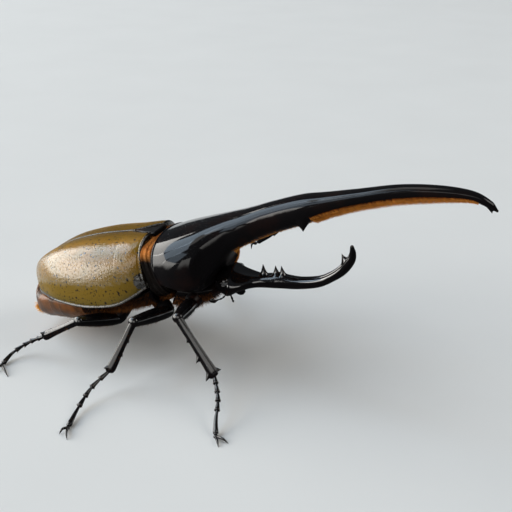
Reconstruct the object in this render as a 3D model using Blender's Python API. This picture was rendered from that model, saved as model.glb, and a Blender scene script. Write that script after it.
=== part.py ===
"""Hercules beetle, male, life size: a still model standing on five feet, its left foreleg raised.

Lengths are millimetres until a mesh is made. x runs from the tail (0) to the tip of the long horn,
y to the beetle's left and z up from the floor. The origin is on the floor, half way along the body.
"""

import math

import bmesh
import bpy
import numpy as np
from mathutils import Matrix, Vector

MM = 0.001
BODY_LENGTH = 165.0
MIDDLE = BODY_LENGTH / 2
GAP = 0.3

# The hind body slopes: its frame has its corner at the tail and its long axis tipped up.
TAIL = (1.0, 14.0)
HIND_PITCH = math.radians(15.0)
ELYTRON_LENGTH = 55.6
THORAX_END = 54.2
ABDOMEN_LENGTH = 26.6

# Stations of the wing cases in the hind frame: along, suture height, margin height, half width.
ELYTRON = (
    (1.5, 5.0, 1.0, 2.2),
    (2.7, 7.9, 0.5, 4.8),
    (5.6, 10.3, 0.0, 8.9),
    (11.6, 13.0, 0.1, 14.4),
    (20.0, 15.3, -1.2, 19.3),
    (32.0, 16.2, -3.7, 21.4),
    (43.0, 15.8, -4.4, 21.0),
    (50.5, 15.3, -2.7, 18.8),
    (ELYTRON_LENGTH, 15.0, -0.8, 15.6),
)
ELYTRON_SWELL = 0.7
ELYTRON_WIDTH = 21.4
FRONT_BEND = 1.6
FRONT_BEND_START = 42.0

# The scutellum, the small triangle between the wing cases: along, half width.
SCUTELLUM = ((46.0, 0.3), (49.0, 2.0), (52.0, 3.8), (ELYTRON_LENGTH, 4.6), (56.2, 4.4))
SCUTELLUM_DEPTH = 12.0

# Stations of the underside in the hind frame: along, keel height, half width.
UNDERSIDE = (
    (-0.8, -5.6, 2.2),
    (0.6, -7.6, 5.4),
    (2.6, -8.9, 8.6),
    (6.5, -10.6, 12.2),
    (16.5, -12.0, 16.2),
    (26.5, -12.0, 16.6),
    (38.0, -10.6, 14.9),
    (47.5, -10.4, 14.5),
    (THORAX_END, -10.2, 13.4),
)
VENTRITES = 5
VENTRITE_STEP = 0.45
PYGIDIUM_START = -0.75
PYGIDIUM_END = 2.6

# Stations of the soft joint between wing cases and pronotum, in the hind frame:
# x and z of its upper line, x and z of its lower line, half width.
WAIST = ((55.9, 12.5, 55.9, -8.6, 13.9), (57.2, 12.2, 58.8, -8.2, 14.2), (58.7, 11.6, 60.4, -6.8, 14.2))

# Stations of the pronotum and its horn: x and z of the upper line, x and z of the lower line, half width.
PRONOTUM_AND_HORN = (
    (54.0, 43.3, 61.0, 29.5, 19.3),
    (60.5, 46.0, 67.5, 28.7, 20.8),
    (67.5, 48.6, 74.0, 29.0, 19.4),
    (73.5, 50.8, 74.6, 31.8, 15.0),
    (78.2, 52.5, 80.2, 39.8, 10.6),
    (82.4, 54.0, 86.0, 43.4, 8.8),
    (86.4, 55.6, 89.8, 45.6, 7.6),
    (92.5, 58.1, 95.3, 48.4, 6.8),
    (102.5, 61.7, 105.5, 52.7, 6.3),
    (110.7, 63.5, 112.9, 56.8, 5.2),
    (121.2, 65.9, 122.6, 60.8, 4.1),
    (134.6, 69.0, 135.4, 64.3, 3.2),
    (146.9, 70.2, 147.1, 66.2, 2.8),
    (157.0, 69.7, 156.4, 66.8, 2.2),
    (162.8, 67.3, 161.8, 65.3, 1.5),
    (BODY_LENGTH, 64.8, 164.6, 64.1, 0.5),
)
HORN_ROOT = 5.6
HORN_CUT = 0.07

PROSTERNUM = (
    (64.4, 28.4, 60.0, 18.2, 13.2),
    (69.4, 28.0, 68.0, 19.2, 11.8),
    (74.5, 28.0, 75.1, 23.6, 8.6),
)

HEAD = (
    (75.3, 32.3, 75.4, 24.4, 6.6),
    (78.7, 33.8, 75.9, 24.2, 7.2),
    (82.0, 32.4, 78.6, 23.4, 8.3),
    (85.2, 31.6, 82.4, 25.6, 7.2),
    (88.2, 31.6, 87.4, 27.2, 4.0),
)
HEAD_HORN = (
    (88.6, 31.6, 87.9, 27.2, 3.8),
    (95.0, 32.7, 95.2, 28.0, 2.9),
    (102.5, 33.1, 102.9, 28.9, 2.5),
    (109.0, 34.4, 109.9, 30.7, 2.3),
    (112.9, 36.4, 114.8, 33.6, 2.2),
    (116.0, 39.0, 118.8, 36.9, 2.1),
    (118.2, 41.8, 121.4, 41.0, 1.9),
    (119.5, 44.0, 121.7, 44.2, 1.3),
    (119.7, 46.2, 120.9, 46.5, 0.7),
)

EYE_CENTRE = (78.4, 7.0, 30.0)
EYE_RADII = (1.7, 1.5, 1.7)

BLACK = (0.012, 0.012, 0.015, 1.0)
OLIVE = (0.30, 0.23, 0.05, 1.0)
RUST = (0.36, 0.12, 0.03, 1.0)
BROWN = (0.11, 0.05, 0.025, 1.0)


def collection(name):
    made = bpy.data.collections.new(name)
    bpy.context.scene.collection.children.link(made)
    return made


def through(rows, t):
    """Values at the places t along rows (0 is the first row), by a cubic that passes each row."""
    rows = np.asarray(rows, float)
    padded = np.vstack([2 * rows[0] - rows[1], rows, 2 * rows[-1] - rows[-2]])
    i = np.clip(np.asarray(t, float).astype(int), 0, len(rows) - 2)
    u = (t - i)[:, None]
    a, b, c, d = (padded[i + k] for k in range(4))
    return b + 0.5 * u * (c - a + u * (2 * a - 5 * b + 4 * c - d + u * (3 * (b - c) + d - a)))


def places(rows, along):
    """The places t at which the first column of rows reaches the values along."""
    t = np.linspace(0, len(rows) - 1, 40 * len(rows))
    return np.interp(along, through(rows, t)[:, 0], t)


def sections(rows, t, sides, widest=0.5, upper=2.0, lower=2.0):
    """Closed sections between an upper and a lower line. The half width is reached at the height
    fraction widest, and the halves above and below it are superellipses of powers upper and lower."""
    v = through(rows, t)
    angle = 2 * math.pi * (np.arange(sides) + 0.5) / sides
    cos, sin = np.cos(angle), np.sin(angle)
    widest, upper, lower = (np.broadcast_to(k, len(t))[:, None] for k in (widest, upper, lower))
    power = 2 / np.where(sin >= 0, upper, lower)
    y = v[:, 4:5] * np.sign(cos) * np.abs(cos) ** power
    rise = np.sign(sin) * np.abs(sin) ** power
    height = widest + rise * np.where(sin >= 0, 1 - widest, widest)
    x = v[:, 2:3] + (v[:, 0:1] - v[:, 2:3]) * height
    z = v[:, 3:4] + (v[:, 1:2] - v[:, 3:4]) * height
    return np.stack([x, y, z], axis=2)


def skin(name, rings, group, colour, roughness=0.15):
    """One closed body through rings of equal count, with a flat cap on each end."""
    count, sides = rings.shape[:2]
    here = np.arange(sides)
    ahead = (here + 1) % sides
    step = sides * np.arange(count - 1)[:, None]
    walls = np.stack([step + here, step + ahead, step + sides + ahead, step + sides + here], axis=2)
    faces = walls.reshape(-1, 4).tolist() + [here[::-1].tolist(), (sides * (count - 1) + here).tolist()]
    mesh = bpy.data.meshes.new(name)
    mesh.from_pydata((rings.reshape(-1, 3) * MM).tolist(), [], faces)
    return finish(name, mesh, group, colour, roughness)


def finish(name, mesh, group, colour, roughness=0.15):
    """The object of a mesh, with its faces turned out and its own material."""
    bm = bmesh.new()
    bm.from_mesh(mesh)
    bmesh.ops.recalc_face_normals(bm, faces=bm.faces)
    bm.to_mesh(mesh)
    bm.free()
    mesh.shade_smooth()
    mesh.set_sharp_from_angle(angle=math.radians(50))
    material = bpy.data.materials.new(name)
    material.use_nodes = True
    shader = material.node_tree.nodes["Principled BSDF"]
    shader.inputs["Base Color"].default_value = colour
    shader.inputs["Roughness"].default_value = roughness
    shader.inputs["Metallic"].default_value = 0.0
    mesh.materials.clear()
    mesh.materials.append(material)
    made = bpy.data.objects.new(name, mesh)
    group.objects.link(made)
    return made


def largest_body(mesh):
    """Keeps only the largest closed surface of a mesh."""
    bm = bmesh.new()
    bm.from_mesh(mesh)
    left = set(bm.verts)
    bodies = []
    while left:
        body = {left.pop()}
        edge = set(body)
        while edge:
            edge = {other for vert in edge for e in vert.link_edges for other in e.verts} - body
            body |= edge
        left -= body
        bodies.append(body)
    bodies.sort(key=len)
    bmesh.ops.delete(bm, geom=[vert for body in bodies[:-1] for vert in body], context="VERTS")
    bm.to_mesh(mesh)
    bm.free()


def combine(base, others, operation="UNION", solver="EXACT"):
    """Joins the others to the base, or cuts them from it, by one Boolean, and removes them."""
    helpers = collection("helpers_of_" + base.name)
    for other in others:
        for holder in other.users_collection:
            holder.objects.unlink(other)
        helpers.objects.link(other)
    boolean = base.modifiers.new(operation.lower(), "BOOLEAN")
    boolean.operation = operation
    boolean.operand_type = "COLLECTION"
    boolean.collection = helpers
    boolean.solver = solver
    bpy.context.view_layer.update()
    graph = bpy.context.evaluated_depsgraph_get()
    joined = bpy.data.meshes.new_from_object(base.evaluated_get(graph))
    base.modifiers.clear()
    material = base.data.materials[0]
    base.data = joined
    largest_body(joined)
    joined.materials.clear()
    joined.materials.append(material)
    for other in list(helpers.objects):
        bpy.data.objects.remove(other, do_unlink=True)
    bpy.data.collections.remove(helpers)
    return base


def spine(root, tip, radius, group, sides=6):
    """A cone from a sunk root to its tip."""
    root, tip = Vector(root) * MM, Vector(tip) * MM
    bm = bmesh.new()
    turn = (tip - root).to_track_quat("Z", "Y").to_matrix().to_4x4()
    matrix = Matrix.Translation((root + tip) / 2) @ turn
    bmesh.ops.create_cone(
        bm, cap_ends=True, cap_tris=True, segments=sides, radius1=radius * MM,
        radius2=0.0, depth=(tip - root).length, matrix=matrix,
    )
    mesh = bpy.data.meshes.new("spine")
    bm.to_mesh(mesh)
    bm.free()
    return finish("spine", mesh, group, BLACK)


def ball(name, centre, radii, group, colour, rings=8):
    """An ellipsoid."""
    bm = bmesh.new()
    matrix = Matrix.Translation(Vector(centre) * MM) @ Matrix.Diagonal(Vector(radii) * MM).to_4x4()
    bmesh.ops.create_uvsphere(bm, u_segments=2 * rings, v_segments=rings, radius=1.0, matrix=matrix)
    mesh = bpy.data.meshes.new(name)
    bm.to_mesh(mesh)
    bm.free()
    return finish(name, mesh, group, colour)


def limb(path, radii, sides=10, flat=1.0, before=None, after=None, floor=0.0):
    """Sections of a limb along a path. flat narrows it across, and the end sections are slid onto
    the planes half way round the joints with the points before and after, less half a gap."""
    path = np.asarray(path, float)
    heading = np.gradient(path, axis=0)
    heading /= np.linalg.norm(heading, axis=1)[:, None]
    up = np.array([0.0, 0.0, 1.0])
    across = np.cross(up, heading)
    across /= np.linalg.norm(across, axis=1)[:, None]
    rise = np.cross(heading, across)
    angle = 2 * math.pi * (np.arange(sides) + 0.5) / sides
    circle = np.cos(angle)[None, :, None] * rise[:, None] + flat * np.sin(angle)[None, :, None] * across[:, None]
    rings = path[:, None] + circle * np.asarray(radii, float)[:, None, None]
    for end, beyond in ((0, before), (-1, after)):
        if beyond is None:
            continue
        inward = heading[end] if end == 0 else -heading[end]
        outward = np.asarray(beyond, float) - path[end]
        normal = inward - outward / np.linalg.norm(outward)
        normal /= np.linalg.norm(normal)
        off = (rings[end] - path[end]) @ normal - GAP / 2
        rings[end] -= off[:, None] * inward / (inward @ normal)
    rings[:, :, 2] = np.maximum(rings[:, :, 2], floor)
    return rings


def between(a, b, fractions):
    a, b = np.asarray(a, float), np.asarray(b, float)
    return a + np.asarray(fractions, float)[:, None] * (b - a)


for leftover in list(bpy.data.objects):
    bpy.data.objects.remove(leftover, do_unlink=True)
beetle = collection("hercules_beetle")


def turned(name, location, pitch=0.0):
    """An empty that carries the pieces modelled in one frame."""
    empty = bpy.data.objects.new(name, None)
    beetle.objects.link(empty)
    empty.location = Vector(location) * MM
    empty.rotation_euler = (0.0, -pitch, 0.0)
    return empty


def carry(empty, *pieces):
    for piece in pieces:
        piece.parent = empty


hind_body = turned("hind_body", (TAIL[0] - MIDDLE, 0.0, TAIL[1]), HIND_PITCH)
fore_body = turned("fore_body", (-MIDDLE, 0.0, 0.0))


def scutellum_half(along):
    along = np.asarray(along, float)
    rows = np.array(SCUTELLUM)
    return np.interp(along, rows[:, 0], rows[:, 1], left=-1.0)


def elytron(name, side):
    """A wing case: domed across, flat beneath, and cut away along the scutellum."""
    along = np.concatenate([[1.5, 1.9, 2.7, 3.9, 5.6, 8.4], np.linspace(12.0, 44.0, 8), [47.0, 49.5, 52.0, 54.0, ELYTRON_LENGTH]])
    v = through(ELYTRON, places(ELYTRON, along))
    top, margin, half = v[:, 1:2], v[:, 2:3], v[:, 3:4]
    inner = np.maximum(GAP / 2, scutellum_half(along) + GAP)[:, None]
    phi = np.linspace(0.0, math.pi / 2, 11)[None, :]
    y = inner + (half - inner) * np.sin(phi) ** 0.85
    z = margin + (top - margin) * np.cos(phi) ** 0.55 + ELYTRON_SWELL * np.sin(math.pi * y / half)
    back = np.linspace(1.0, 0.0, 4)[None, 1:]
    y = np.hstack([y, inner + (half - inner) * back])
    z = np.hstack([z, margin + 0.0 * back])
    bend = np.clip((along[:, None] - FRONT_BEND_START) / (ELYTRON_LENGTH - FRONT_BEND_START), 0.0, 1.0)
    x = along[:, None] - FRONT_BEND * bend**2 * (y / ELYTRON_WIDTH) ** 2
    return skin(name, np.stack([x, side * y, z], axis=2), beetle, OLIVE, 0.25)


def margin_height(along):
    return through(ELYTRON, places(ELYTRON, along))[:, 2]


def underside(start, end, steps, step_size=0.0, segments=1):
    """Sections of the belly from start to end in the hind frame, stepped at each ring if asked."""
    along = np.linspace(start, end, steps)
    keel, half = through(UNDERSIDE, places(UNDERSIDE, along))[:, 1:].T
    top = margin_height(along) - GAP - 0.05
    ring = step_size * (1.0 - (np.linspace(0.0, segments, steps) % 1.0))
    rows = np.stack([along, top, along, keel - ring, half + ring], axis=1)
    widest = np.interp(along, [0.0, 12.0], [0.34, 0.75])
    return sections(rows, np.arange(len(rows)), 24, widest, upper=5.0, lower=2.1)


def waist():
    rings = sections(WAIST, np.linspace(0, 2, 5), 24, widest=0.6, upper=2.6, lower=2.4)
    return skin("waist", rings, beetle, RUST, 0.5)


def scutellum():
    along = np.array([46.4, 48.0, 50.0, 52.0, 53.7, 54.3, 56.0])
    top = through(ELYTRON, places(ELYTRON, np.minimum(along, ELYTRON_LENGTH)))[:, 1] + 0.25
    bottom = np.where(along < 54.0, top - SCUTELLUM_DEPTH, top - 1.9)
    half = scutellum_half(along)
    rows = np.stack([along, top, along, bottom, half], axis=1)
    rings = sections(rows, np.arange(len(rows)), 12, widest=0.5, upper=6.0, lower=6.0)
    return skin("scutellum", rings, beetle, BLACK)


def swollen(rings, by):
    """The rings of a slightly larger body, to cut a neighbour clear of it."""
    centre = rings.mean(axis=1, keepdims=True)
    out = rings - centre
    grown = rings + by * out / np.linalg.norm(out, axis=2, keepdims=True)
    ends = centre[:, 0]
    grown[0] += by * (ends[0] - ends[1]) / np.linalg.norm(ends[0] - ends[1])
    grown[-1] += by * (ends[-1] - ends[-2]) / np.linalg.norm(ends[-1] - ends[-2])
    return grown


def pronotum_rings(start, end, count, sides):
    t = np.linspace(start, end, count)
    widest = np.interp(t, [0, 2, 5, 15], [0.30, 0.34, 0.5, 0.5])
    lower = np.interp(t, [0, 2, 5, 15], [4.5, 4.0, 2.1, 2.0])
    return sections(PRONOTUM_AND_HORN, t, sides, widest, 2.15, lower)


def head_rings():
    return sections(HEAD, np.linspace(0, 4, 9), 20, widest=0.5, upper=1.7, lower=2.2)


elytra = [elytron("elytron_l", 1.0), elytron("elytron_r", -1.0)]
carry(hind_body, *elytra, scutellum(), waist())

abdomen = skin("abdomen", underside(PYGIDIUM_END + GAP, ABDOMEN_LENGTH, 21, VENTRITE_STEP, VENTRITES), beetle, BROWN)
pygidium = skin("pygidium", underside(PYGIDIUM_START, PYGIDIUM_END, 5), beetle, BROWN)
thorax = skin("thorax", underside(ABDOMEN_LENGTH + GAP, THORAX_END, 10), beetle, BLACK)
carry(hind_body, abdomen, pygidium, thorax)

pronotum = skin("pronotum", pronotum_rings(0.0, HORN_ROOT, 15, 32), beetle, BLACK, 0.12)
prosternum = skin("prosternum", sections(PROSTERNUM, np.linspace(0, 2, 6), 20, 0.6, 4.0, 2.2), beetle, BLACK)
thoracic_horn = skin("thoracic_horn", pronotum_rings(HORN_ROOT + HORN_CUT, 15.0, 26, 20), beetle, BLACK, 0.12)
head = skin("head", head_rings(), beetle, BLACK)
head_horn = skin("head_horn", sections(HEAD_HORN, np.linspace(0, 8, 22), 16), beetle, BLACK)
carry(fore_body, pronotum, prosternum, thoracic_horn, head, head_horn)

# The side teeth of the long horn, and the little one under its tip: root, tip, root radius.
HORN_TEETH = (
    ((104.8, -3.6, 55.4), (105.6, -5.6, 51.4), 1.9),
    ((104.8, 3.6, 55.4), (105.6, 5.6, 51.4), 1.9),
    ((162.4, 0.0, 65.9), (163.4, 0.0, 63.4), 0.6),
)
# The teeth of the head horn: two small ones close together after a first, and the hook below the tip.
HEAD_HORN_TEETH = (
    ((89.9, 0.0, 31.5), (89.7, 0.0, 35.8), 1.2),
    ((94.4, 0.0, 31.2), (94.2, 0.0, 35.9), 1.2),
    ((96.6, 0.0, 31.2), (96.2, 0.0, 36.0), 1.1),
    ((118.4, 0.0, 40.0), (116.9, 0.0, 43.7), 1.2),
)

# The brush of short hair under the long horn, as locks in rows: place along the horn, lock length.
BRUSH = ((8.35, 1.3), (9.3, 1.7), (10.4, 2.0), (11.5, 1.9), (12.3, 1.5), (13.0, 1.0), (13.35, 0.7))
BRUSH_ROWS = (-0.5, 0.0, 0.5)
LOCKS_IN_ROW = 22
LOCK_WIDTH = 1.3
LOCKS_FULL_AT = 3.3
LOCK_THINNESS = 0.45
LOCK_ROOT = 1.0
LOCK_LEAN = 0.45


def toothed(teeth):
    return [spine(root, tip, radius, beetle, 8) for root, tip, radius in teeth]


def brush():
    """Flat tapered locks rooted in the horn's lower face, each row set off from the next."""
    locks = []
    rows = np.array(BRUSH)
    step = (rows[-1, 0] - rows[0, 0]) / (LOCKS_IN_ROW - 1)
    for k, across in enumerate(BRUSH_ROWS):
        t = np.linspace(rows[0, 0], rows[-1, 0], LOCKS_IN_ROW) + k * step / len(BRUSH_ROWS)
        length = np.interp(t, rows[:, 0], rows[:, 1]) * (1.0 + 0.12 * np.cos(2.3 * np.arange(LOCKS_IN_ROW) + k))
        v = through(PRONOTUM_AND_HORN, t)
        down = np.stack([v[:, 2] - v[:, 0], 0.0 * t, v[:, 3] - v[:, 1]], axis=1)
        drop = 0.5 * (1.0 + math.sqrt(1.0 - across**2))
        skin_place = np.stack([v[:, 0], across * v[:, 4], v[:, 1]], axis=1) + down * drop
        down /= np.linalg.norm(down, axis=1)[:, None]
        lean = down + np.array([LOCK_LEAN, 0.5 * across, 0.0])
        lean /= np.linalg.norm(lean, axis=1)[:, None]
        width = LOCK_WIDTH * np.minimum(1.0, v[:, 4] / LOCKS_FULL_AT)
        for place, inward, out, reach, wide in zip(skin_place, -down, lean, length, width):
            path = [place + inward * LOCK_ROOT, place + out * 0.5 * reach, place + out * reach]
            radii = wide * np.array([0.9, 0.8, 0.35])
            locks.append(skin("lock", limb(path, radii, 4, LOCK_THINNESS), beetle, RUST, 0.6))
    return locks


for horn, fused in ((thoracic_horn, toothed(HORN_TEETH) + brush()), (head_horn, toothed(HEAD_HORN_TEETH))):
    carry(fore_body, *fused)
    combine(horn, fused, solver="MANIFOLD")

for side, letter in ((1, "l"), (-1, "r")):
    centre = (EYE_CENTRE[0], side * EYE_CENTRE[1], EYE_CENTRE[2])
    socket = ball("socket", centre, tuple(r + GAP for r in EYE_RADII), beetle, BLACK)
    eye = ball("eye_" + letter, centre, EYE_RADII, beetle, BLACK)
    carry(fore_body, socket, eye)
    combine(head, [socket], "DIFFERENCE")

ANTENNA = ((78.8, 6.0, 27.6), (80.2, 9.2, 27.2), (79.8, 11.6, 26.4), (77.8, 12.8, 25.6))
CLUB_LENGTH = 2.8
PALP = ((79.0, 3.8, 25.2), (80.4, 5.0, 23.6), (80.8, 4.8, 22.3))
MANDIBLE = ((80.8, 2.6, 26.8), (82.8, 3.0, 25.6), (83.9, 2.0, 25.5))


def mirrored(points, side):
    return [(x, side * y, z) for x, y, z in points]


def feeler(name, points, radii, side, sides=8):
    """A jointed feeler or mouth part, cut clear of the head."""
    t = np.linspace(0, len(points) - 1, len(radii))
    body = skin(name, limb(through(mirrored(points, side), t), radii, sides), beetle, BLACK)
    shell = skin("shell", swollen(head_rings(), GAP), beetle, BLACK)
    carry(fore_body, body, shell)
    return body, shell


for side, letter in ((1, "l"), (-1, "r")):
    beads = [0.5, 0.45, 0.55, 0.6, 0.45, 0.5, 0.4, 0.5, 0.4, 0.5, 0.4, 0.5, 0.4]
    antenna, shell = feeler("antenna_" + letter, ANTENNA, beads, side)
    tip = Vector(mirrored(ANTENNA, side)[-1])
    leaves = []
    for k in (-1, 0, 1):
        leaf = ball("leaf", tip + Vector((-1.0, 0.45 * k, -0.4)), (CLUB_LENGTH / 2, 0.34, 0.75), beetle, RUST, 5)
        leaves.append(leaf)
    carry(fore_body, *leaves)
    combine(antenna, leaves)
    combine(antenna, [shell], "DIFFERENCE")
    palp, shell = feeler("palp_" + letter, PALP, [0.45, 0.45, 0.55, 0.4, 0.5, 0.55, 0.3], side)
    combine(palp, [shell], "DIFFERENCE")
    mandible, shell = feeler("mandible_" + letter, MANDIBLE, [1.2, 1.3, 1.1, 0.8, 0.35], side)
    combine(mandible, [shell], "DIFFERENCE")

# Each leg: where its coxa is rooted in the body, hip, knee, ankle, three places along the foot,
# and the tips of the two claws.
LEGS = {
    "fore_r": ((68.5, -5.0, 24.6), (69.0, -13.2, 23.4), (71.9, -29.0, 25.4), (86.1, -33.0, 9.8),
               (90.7, -40.5, 6.2), (93.2, -47.8, 3.0), (95.0, -52.0, 0.8), (98.1, -57.0, 0.0), (100.0, -54.0, 0.0)),
    "mid_r": ((52.0, -4.5, 18.5), (58.6, -10.5, 17.4), (56.7, -31.0, 22.1), (51.6, -39.0, 7.3),
              (49.1, -46.5, 4.5), (49.2, -55.0, 1.9), (51.2, -64.5, 0.8), (50.4, -68.5, 0.0), (54.2, -70.3, 0.0)),
    "hind_r": ((39.5, -4.5, 15.0), (38.5, -11.0, 11.2), (33.2, -27.0, 16.4), (18.8, -26.5, 7.8),
               (12.9, -27.5, 4.9), (8.9, -32.0, 2.2), (8.7, -38.0, 0.8), (10.2, -42.5, 0.0), (15.1, -44.3, 0.0)),
    "fore_l": ((68.5, 5.0, 24.6), (69.0, 13.2, 23.4), (66.4, 29.0, 31.5), (82.4, 36.5, 37.0),
               (85.6, 33.0, 37.6), (81.6, 27.3, 35.0), (78.2, 23.4, 33.5), (77.5, 19.3, 32.2), (74.6, 19.3, 33.0)),
    "mid_l": ((52.0, 4.5, 18.5), (58.6, 10.5, 17.4), (57.5, 31.0, 21.8), (54.0, 39.0, 7.0),
              (53.0, 47.0, 4.4), (54.5, 55.5, 1.9), (57.0, 64.3, 0.8), (57.4, 68.4, 0.0), (60.6, 70.3, 0.0)),
    "hind_l": ((39.5, 4.5, 15.0), (38.5, 11.0, 11.2), (32.5, 27.0, 16.8), (19.5, 28.5, 7.5),
               (14.5, 31.0, 4.6), (12.5, 36.5, 2.1), (13.5, 42.5, 0.8), (15.5, 46.8, 0.0), (19.8, 48.0, 0.0)),
}
FEMUR_RADII = (2.1, 2.3, 2.4, 2.2, 1.9, 1.75)
FEMUR_PLACES = (0.0, 0.14, 0.4, 0.65, 0.87, 1.0)
TIBIA_RADII = (1.25, 1.3, 1.25, 1.4, 1.65, 1.25)
TIBIA_PLACES = (0.0, 0.12, 0.4, 0.7, 0.94, 1.0)
FORE_TIBIA_GROWTH = 1.15
TARSUS_JOINTS = (0.0, 0.17, 0.32, 0.47, 0.63, 1.0)
TARSUS_NECK = 0.42
TARSUS_END = 0.85
CLAW_RADIUS = 0.42
CLAW_BASE = (0.75, 0.75, 0.6)
# Spines of a tibia: place along it, turn about it in degrees, length.
TIBIA_SPINES = ((0.36, 200, 1.0), (0.5, 120, 0.9), (0.64, 190, 1.3), (0.8, 100, 1.1), (0.95, 160, 1.5), (0.95, 20, 1.3))
FORE_SPINES = ((0.36, 0, 0.9), (0.66, 0, 2.0), (0.95, 0, 2.4), (0.95, 170, 1.4))
TIBIA_OUTER = (-0.25, 0.8, 0.55)
FORE_TIBIA_OUTER = (-0.93, 0.37, 0.0)


def femur(name, root, hip, knee, ankle):
    rings = limb(between(hip, knee, FEMUR_PLACES), FEMUR_RADII, 10, 1.1, before=root, after=ankle)
    return skin(name, rings, beetle, BLACK)


def coxa(root, hip, knee):
    rings = limb(between(root, hip, (0.0, 0.5, 1.0)), (2.9, 2.8, 2.4), 12, after=knee)
    return skin("coxa", rings, beetle, BLACK)


def tibia(name, knee, ankle, hip, toe, growth, spines, outer):
    """A shin that widens to its end, with spines set out from its surface."""
    radii = growth * np.array(TIBIA_RADII)
    body = skin(name, limb(between(knee, ankle, TIBIA_PLACES), radii, 10, 0.85, before=hip, after=toe), beetle, BLACK)
    knee, ankle = Vector(knee), Vector(ankle)
    axis = (ankle - knee).normalized()
    outer = Vector(outer)
    outer = (outer - outer.dot(axis) * axis).normalized()
    teeth = []
    for place, turn, length in spines:
        radius = float(np.interp(place, TIBIA_PLACES, radii))
        facing = Matrix.Rotation(math.radians(turn), 3, axis) @ outer
        root = knee.lerp(ankle, place)
        tip = root + facing * (radius + 0.75 * length) + axis * 0.7 * length
        teeth.append(spine(root + facing * 0.35 * radius, tip, 0.3 + 0.16 * length, beetle, 6))
    return combine(body, teeth)


def foot_path(ankle, steps):
    """Places along the foot at each share of its length."""
    knots = [ankle, *steps]
    fine = through(knots, np.linspace(0, len(knots) - 1, 90))
    run = np.concatenate([[0.0], np.cumsum(np.linalg.norm(np.diff(fine, axis=0), axis=1))])
    shares = []
    radii = []
    for start, end in zip(TARSUS_JOINTS[:-1], TARSUS_JOINTS[1:]):
        shares += [start, start + 0.55 * (end - start), start + 0.88 * (end - start)]
        radii += [TARSUS_NECK, 0.66, 0.9]
    shares.append(1.0)
    radii.append(TARSUS_END)
    path = np.stack([np.interp(np.array(shares) * run[-1], run, fine[:, k]) for k in range(3)], axis=1)
    return path, radii


def claws(name, end, back, tips):
    """Two curved claws on one small base, which meets the end of the foot."""
    end, back = Vector(end), Vector(back)
    axis = (end - back).normalized()
    centre = end + axis * (CLAW_BASE[0] + GAP)
    centre.z = max(centre.z, CLAW_BASE[2])
    base = ball(name, centre, CLAW_BASE, beetle, BLACK, 5)
    hooks = []
    for tip in tips:
        tip = Vector(tip)
        start = end + axis * (0.5 + GAP)
        crown = start.lerp(tip, 0.55) + Vector((0.0, 0.0, 1.1)) + axis * 0.5
        path = through([start, crown, tip], np.linspace(0, 2, 6))
        radii = CLAW_RADIUS * np.array([1.0, 1.0, 0.95, 0.8, 0.6, 0.25])
        hooks.append(skin("hook", limb(path, radii, 6), beetle, BLACK))
    return combine(base, hooks)


coxae = {"fore": [], "rest": []}
for leg, (root, hip, knee, ankle, *foot, claw_a, claw_b) in LEGS.items():
    fore = leg.startswith("fore")
    side = 1 if leg.endswith("l") else -1
    path, radii = foot_path(ankle, foot)
    stub = coxa(root, hip, knee)
    coxae["fore" if fore else "rest"].append(stub)
    thigh = femur(leg + "_femur", root, hip, knee, ankle)
    growth = FORE_TIBIA_GROWTH if fore else 1.0
    spines, outer = (FORE_SPINES, FORE_TIBIA_OUTER) if fore else (TIBIA_SPINES, TIBIA_OUTER)
    shin = tibia(leg + "_tibia", knee, ankle, hip, path[1], growth, spines, mirrored([outer], side)[0])
    tarsus = skin(leg + "_tarsus", limb(path, radii, 8, before=knee), beetle, BLACK)
    pair = claws(leg + "_claws", path[-1], path[-2], (claw_a, claw_b))
    carry(fore_body, stub, thigh, shin, tarsus, pair)
combine(prosternum, coxae["fore"])
combine(thorax, coxae["rest"])
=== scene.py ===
"""A male hercules beetle, life size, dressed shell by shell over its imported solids.

Lengths are millimetres until a mesh is made: x from the tail (0) to the tip of the long horn (165),
y to the beetle's left, z up from the floor.
"""

import math

import bpy
import numpy as np
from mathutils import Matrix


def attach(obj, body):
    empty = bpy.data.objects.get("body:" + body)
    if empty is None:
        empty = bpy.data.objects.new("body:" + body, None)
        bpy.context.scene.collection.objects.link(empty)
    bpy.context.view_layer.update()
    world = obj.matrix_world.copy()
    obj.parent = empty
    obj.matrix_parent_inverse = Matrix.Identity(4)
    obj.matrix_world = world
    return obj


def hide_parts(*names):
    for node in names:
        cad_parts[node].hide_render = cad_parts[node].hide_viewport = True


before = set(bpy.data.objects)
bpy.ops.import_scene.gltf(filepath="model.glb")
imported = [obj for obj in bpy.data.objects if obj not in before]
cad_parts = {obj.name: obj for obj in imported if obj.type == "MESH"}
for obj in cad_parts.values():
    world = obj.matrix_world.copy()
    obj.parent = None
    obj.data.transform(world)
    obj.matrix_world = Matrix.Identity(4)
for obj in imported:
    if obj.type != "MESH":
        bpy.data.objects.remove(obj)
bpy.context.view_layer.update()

# The two wing cases: domed plates of olive, glassy horn over a yellow layer, with black dots and a
# black bead along their edges. They meet in a straight seam along the back, and each is hinged at
# its front corner, under a black shoulder knob.
MM = 0.001
BODY_LENGTH = 165.0
GAP = 0.3
SIDES = ((1, "l"), (-1, "r"))
TAIL = (1.0, 0.0, 14.0)
HIND_PITCH = math.radians(15.0)
WING_CASE_LENGTH = 55.6
# Stations of a wing case: along, height at the seam, height at the margin, half width.
WING_CASE = (
    (1.5, 5.0, 1.0, 2.2),
    (2.7, 7.9, 0.5, 4.8),
    (5.6, 10.3, 0.0, 8.9),
    (11.6, 13.0, 0.1, 14.4),
    (20.0, 15.3, -1.2, 19.3),
    (32.0, 16.2, -3.7, 21.4),
    (43.0, 15.8, -4.4, 21.0),
    (50.5, 15.3, -2.7, 18.8),
    (WING_CASE_LENGTH, 15.0, -0.8, 15.6),
)
WIDEST = 21.4
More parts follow.
